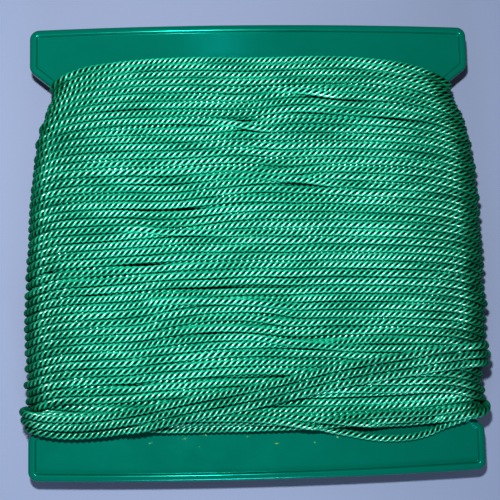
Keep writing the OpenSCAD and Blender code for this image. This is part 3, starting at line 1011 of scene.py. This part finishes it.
def twisted_nylon(name, ridge_highlight, body, groove, gloss):
    made, tree = empty_material(name)
    spot = add_node(tree, "ShaderNodeTexCoord")
    drawn_out = add_node(tree, "ShaderNodeMapping", {"Vector": spot.outputs["Object"],
                                                     "Scale": (SHINY_WIDTH / SHINY_LENGTH, 1, 1)})
    shade = add_node(tree, "ShaderNodeTexNoise", {"Vector": drawn_out.outputs[0], "Detail": 1.5,
                                                  "Scale": scale_for(SHINY_WIDTH), "Roughness": 0.5})
    darkening = add_node(tree, "ShaderNodeAttribute", attribute_name="darkening")
    worn = add_node(tree, "ShaderNodeMapRange",
                    {0: shade.outputs["Fac"], 1: 0.35, 2: 0.65, 3: 0.75, 4: 1.25})
    dull = add_node(tree, "ShaderNodeMapRange",
                    {0: shade.outputs["Fac"], 1: 0.38, 2: 0.6, 3: 0.75, 4: 0.0})
    fuzzy = add_node(tree, "ShaderNodeMix", {0: dull.outputs[0], 6: linear("#F0FFF4"),
                                             7: linear("#2C7860")}, data_type="RGBA")
    # Painted shade: the base colour is darkened at the side turns, and on the loose turns.
    darkening_tint = add_node(tree, "ShaderNodeMix", {0: darkening.outputs["Fac"], 6: linear("#FFFFFF"),
                                            7: linear("#A2958C")}, data_type="RGBA")
    depth = add_node(tree, "ShaderNodeAttribute", attribute_name="strand_depth")
    # Painted highlight: the strands' ridges are coloured lighter than their bodies.
    off_ridge = add_node(tree, "ShaderNodeMapRange",
                         {0: depth.outputs["Fac"], 1: 0.0, 2: 0.35, 3: 0.0, 4: 1.0})
    in_groove = add_node(tree, "ShaderNodeMapRange",
                         {0: depth.outputs["Fac"], 1: 0.45, 2: 0.75, 3: 0.0, 4: 1.0})
    # Painted shade: the reflection is dimmed where the line is darkened.
    glint = add_node(tree, "ShaderNodeMix", {0: darkening.outputs["Fac"], 6: fuzzy.outputs[2],
                                             7: linear("#1C4C38")}, data_type="RGBA")
    # Painted shade: the reflection in the grooves is tinted near black.
    shine = add_node(tree, "ShaderNodeMix", {0: in_groove.outputs[0], 6: glint.outputs[2],
                                             7: linear(groove)}, data_type="RGBA")
    lit = add_node(tree, "ShaderNodeMix", {0: off_ridge.outputs[0], 6: linear(ridge_highlight), 7: linear(body)},
                   data_type="RGBA")
    # Painted shade: the grooves are coloured near black.
    deep = add_node(tree, "ShaderNodeMix", {0: in_groove.outputs[0], 6: lit.outputs[2],
                                            7: linear(groove)}, data_type="RGBA")
    varied = add_node(tree, "ShaderNodeMix", {0: 1.0, 6: deep.outputs[2], 7: worn.outputs[0]},
                      data_type="RGBA", blend_type="MULTIPLY")
    darkened = add_node(tree, "ShaderNodeMix", {0: 1.0, 6: varied.outputs[2], 7: darkening_tint.outputs[2]},
                      data_type="RGBA", blend_type="MULTIPLY")
    # Nylon's own IOR is 1.53. Bundled filaments throw back more light than a smooth solid does.
    shader = add_node(tree, "ShaderNodeBsdfPrincipled",
                      {"Base Color": darkened.outputs[2], "Roughness": 0.31, "IOR": 1.85,
                       "Specular IOR Level": gloss, "Specular Tint": shine.outputs[2]})
    finish_material(tree, shader)
    return made


# The ridge colour is a painted highlight, the groove colour a painted shade.
nylon = twisted_nylon("twisted nylon", "#34A88E", "#108C70", "#000201", 1.0)
shaded_nylon = twisted_nylon("twisted nylon in shade", "#001E14", "#001E14", "#000804", 0.05)
print(nylon.name, "and", shaded_nylon.name, "have", len(nylon.node_tree.nodes), "nodes each")

# %% [markdown]
# ## Moulded polypropylene
# The plate is coloured polypropylene, moulded in a polished tool. It is glossy but never quite
# level: the plastic shrinks a little as it cools, so a reflection wavers. The colour flows in
# slow clouds as the melt did. Fingers leave faint dull smears.
#
# Specks of the line's olive and green are painted on the panel along the winding's foot, a painted
# reflection of the line in the glossy plastic. They are cells of a Voronoi pattern, each with a size
# and colour of its own, drawn out a little and ragged at the edge.

# %% Painted reflection specks on the panel
SPECK_SPACING, SPECK_STRETCH = 2.1, 2.0          # between specks, mm, and how far each is smeared
SPECK_CRUMB = 0.4                               # size of the unevenness of a speck's edge, mm
SPECK_X, SPECK_WIDTH = -5, 26                    # where the specks lie along the winding's foot, mm
SPECK_Y, SPECK_REACH = -50.9, 1.7


def painted_reflection_specks(tree, spot):
    """Nodes that say where the painted reflection specks lie on the panel, and their colour."""
    place = add_node(tree, "ShaderNodeSeparateXYZ", {0: spot.outputs["Object"]})
    beside = add_node(tree, "ShaderNodeMath", {0: place.outputs["X"], 1: SPECK_X * MM,
                                               2: SPECK_WIDTH * MM}, operation="COMPARE")
    below = add_node(tree, "ShaderNodeMath", {0: place.outputs["Y"], 1: SPECK_Y * MM,
                                              2: SPECK_REACH * MM}, operation="COMPARE")
    foot = add_node(tree, "ShaderNodeMath", {0: beside.outputs[0], 1: below.outputs[0]},
                    operation="MULTIPLY")
    smeared = add_node(tree, "ShaderNodeMapping", {"Vector": spot.outputs["Object"],
                                                   "Scale": (1 / SPECK_STRETCH, 1, 1)})
    speck_cells = add_node(tree, "ShaderNodeTexVoronoi",
                      {"Vector": smeared.outputs[0], "Scale": scale_for(SPECK_SPACING)})
    crumbs = add_node(tree, "ShaderNodeTexNoise",
                      {"Vector": spot.outputs["Object"], "Scale": scale_for(SPECK_CRUMB), "Detail": 1.0})
    ragged = add_node(tree, "ShaderNodeMath", {0: crumbs.outputs["Fac"], 1: 0.5,
                                               2: speck_cells.outputs["Distance"]}, operation="MULTIPLY_ADD")
    speck_size = add_node(tree, "ShaderNodeMath", {0: speck_cells.outputs["Color"], 1: 0.24, 2: 0.29},
                          operation="MULTIPLY_ADD")
    speck = add_node(tree, "ShaderNodeMath", {0: ragged.outputs[0], 1: speck_size.outputs[0]},
                     operation="LESS_THAN")
    reflection_specks = add_node(tree, "ShaderNodeMath", {0: speck.outputs[0], 1: foot.outputs[0]},
                    operation="MULTIPLY")
    speck_colour = add_node(tree, "ShaderNodeMix", {0: speck_cells.outputs["Color"], 6: linear("#5A7016"),
                                             7: linear("#4E8468")}, data_type="RGBA")
    return reflection_specks, speck_colour


print(f"dust from x {SPECK_X - SPECK_WIDTH} to {SPECK_X + SPECK_WIDTH} mm")

# %% Moulded polypropylene
FLOW_SIZE, SMEAR_SIZE = 30, 9                  # clouds of the melt, and a finger's smears, mm
WAVE_SIZE, WAVE_DEPTH = 5, 0.04                # shrinkage waves of the surface, mm


def moulded_polypropylene():
    made, tree = empty_material("moulded polypropylene")
    spot = add_node(tree, "ShaderNodeTexCoord")
    flow = add_node(tree, "ShaderNodeTexNoise",
                    {"Vector": spot.outputs["Object"], "Scale": scale_for(FLOW_SIZE), "Detail": 2.0})
    colour = add_node(tree, "ShaderNodeMix", {0: flow.outputs["Fac"], 6: linear("#004E42"),
                                              7: linear("#005448")}, data_type="RGBA")
    smear = add_node(tree, "ShaderNodeTexNoise", {"Vector": spot.outputs["Object"], "Detail": 5.0,
                                                  "Scale": scale_for(SMEAR_SIZE), "Roughness": 0.65})
    touched = add_node(tree, "ShaderNodeMapRange",
                       {0: smear.outputs["Fac"], 1: 0.56, 2: 0.72, 3: 0, 4: 0.12})
    smudged = add_node(tree, "ShaderNodeMix", {0: touched.outputs[0], 6: colour.outputs[2],
                                               7: linear("#003A38")}, data_type="RGBA")
    # Painted reflection: specks of the line's colour along the winding's foot.
    reflection_specks, speck_colour = painted_reflection_specks(tree, spot)
    with_specks = add_node(tree, "ShaderNodeMix", {0: reflection_specks.outputs[0], 6: smudged.outputs[2],
                                              7: speck_colour.outputs[2]}, data_type="RGBA")
    rough = add_node(tree, "ShaderNodeMapRange",
                     {0: smear.outputs["Fac"], 1: 0.3, 2: 0.7, 3: 0.14, 4: 0.24})
    waviness = add_node(tree, "ShaderNodeTexNoise",
                        {"Vector": spot.outputs["Object"], "Scale": scale_for(WAVE_SIZE), "Detail": 1.0})
    bump = add_node(tree, "ShaderNodeBump", {"Height": waviness.outputs["Fac"], "Strength": 0.5,
                                             "Distance": WAVE_DEPTH * MM})
    shader = add_node(tree, "ShaderNodeBsdfPrincipled",
                      {"Base Color": with_specks.outputs[2], "Roughness": rough.outputs[0], "IOR": 1.49,
                       "Specular Tint": linear("#40FFE8"), "Normal": bump.outputs[0]})
    finish_material(tree, shader)
    return made


plastic = moulded_polypropylene()
print(plastic.name, "has", len(plastic.node_tree.nodes), "nodes")

# %% [markdown]
# ## Handing the pieces over
# Each piece gets its material and a body to ride on. There is only one body, because nothing on
# a flat winder moves. The construction model's plain solid that each piece stands for is hidden.

# %% Hand the pieces over
for piece in outer + inner + [start_knot]:
    piece.data.materials.append(nylon if "strand_depth" in piece.data.attributes else shaded_nylon)
    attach(piece, "root")
for piece in outer:
    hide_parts("line_outer_turns")
for piece in inner:
    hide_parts("line_inner_layers")
plate.data.materials.append(plastic)
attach(plate, "root")
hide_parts("winder_frame")
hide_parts("line_start_knot")
for helper in (strand_profile, round_profile):
    bpy.data.objects.remove(helper)
print(len(outer + inner) + 2, "pieces ride on the root body")

# %% [markdown]
# ## The floor
# Matt, pale, slightly blue paper: it takes the winder's shadow and adds nothing of its own.

# %% Floor
FLOOR_REACH = 3.0                              # to each side, m
bm = bmesh.new()
bmesh.ops.create_grid(bm, x_segments=1, y_segments=1, size=FLOOR_REACH)
floor = object_of("floor", bm)
paper, tree = empty_material("matt paper")
finish_material(tree, add_node(tree, "ShaderNodeBsdfPrincipled",
                               {"Base Color": linear("#6A7387"), "Roughness": 0.8}))
floor.data.materials.append(paper)
print("floor of", [round(side, 1) for side in floor.dimensions[:2]], "m")

# %% [markdown]
# ## Light
# A small key lamp stands near the camera, a little to the left and above. It makes a short hard
# shadow and a crisp glint on every strand. A large low window on the near side fills in the lower
# edges of the turns, a weak lamp beyond the top flange shows as a soft highlight on its panel,
# and a dim, even room lights the rest.

# %% Light
def area_light(name, spot, aim, size, power, colour="#FFFFFF"):
    """A round lamp: its places from the plate's middle and its size in mm, its power in watts."""
    data = bpy.data.lights.new(name, "AREA")
    data.shape = "DISK"
    data.size = size * MM
    data.energy = power
    data.color = linear(colour)[:3]
    made = add_object(name, data)
    spot, aim = Vector(spot), Vector(aim)
    made.location = (spot + Vector((0, 0, middle_z))) * MM
    made.rotation_euler = (aim - spot).to_track_quat("-Z", "Y").to_euler()


area_light("key", spot=(-21, 18, 262), aim=(-92, 60, 0), size=13, power=1.3)
area_light("window", spot=(-10, -300, 125), aim=(0, 0, 0), size=90, power=0.5, colour="#DCE8F8")
area_light("lamp", spot=(-6, 161, 300), aim=(-6, 70, 0), size=14, power=0.011, colour="#B8DCFF")
world = bpy.data.worlds.new("studio")
world.use_nodes = True
room = world.node_tree.nodes["Background"].inputs
room["Color"].default_value = linear("#E8EEF6")
room["Strength"].default_value = 0.27
bpy.context.scene.world = world
bpy.context.scene.view_settings.view_transform = "Standard"
bpy.context.scene.view_settings.look = "High Contrast"
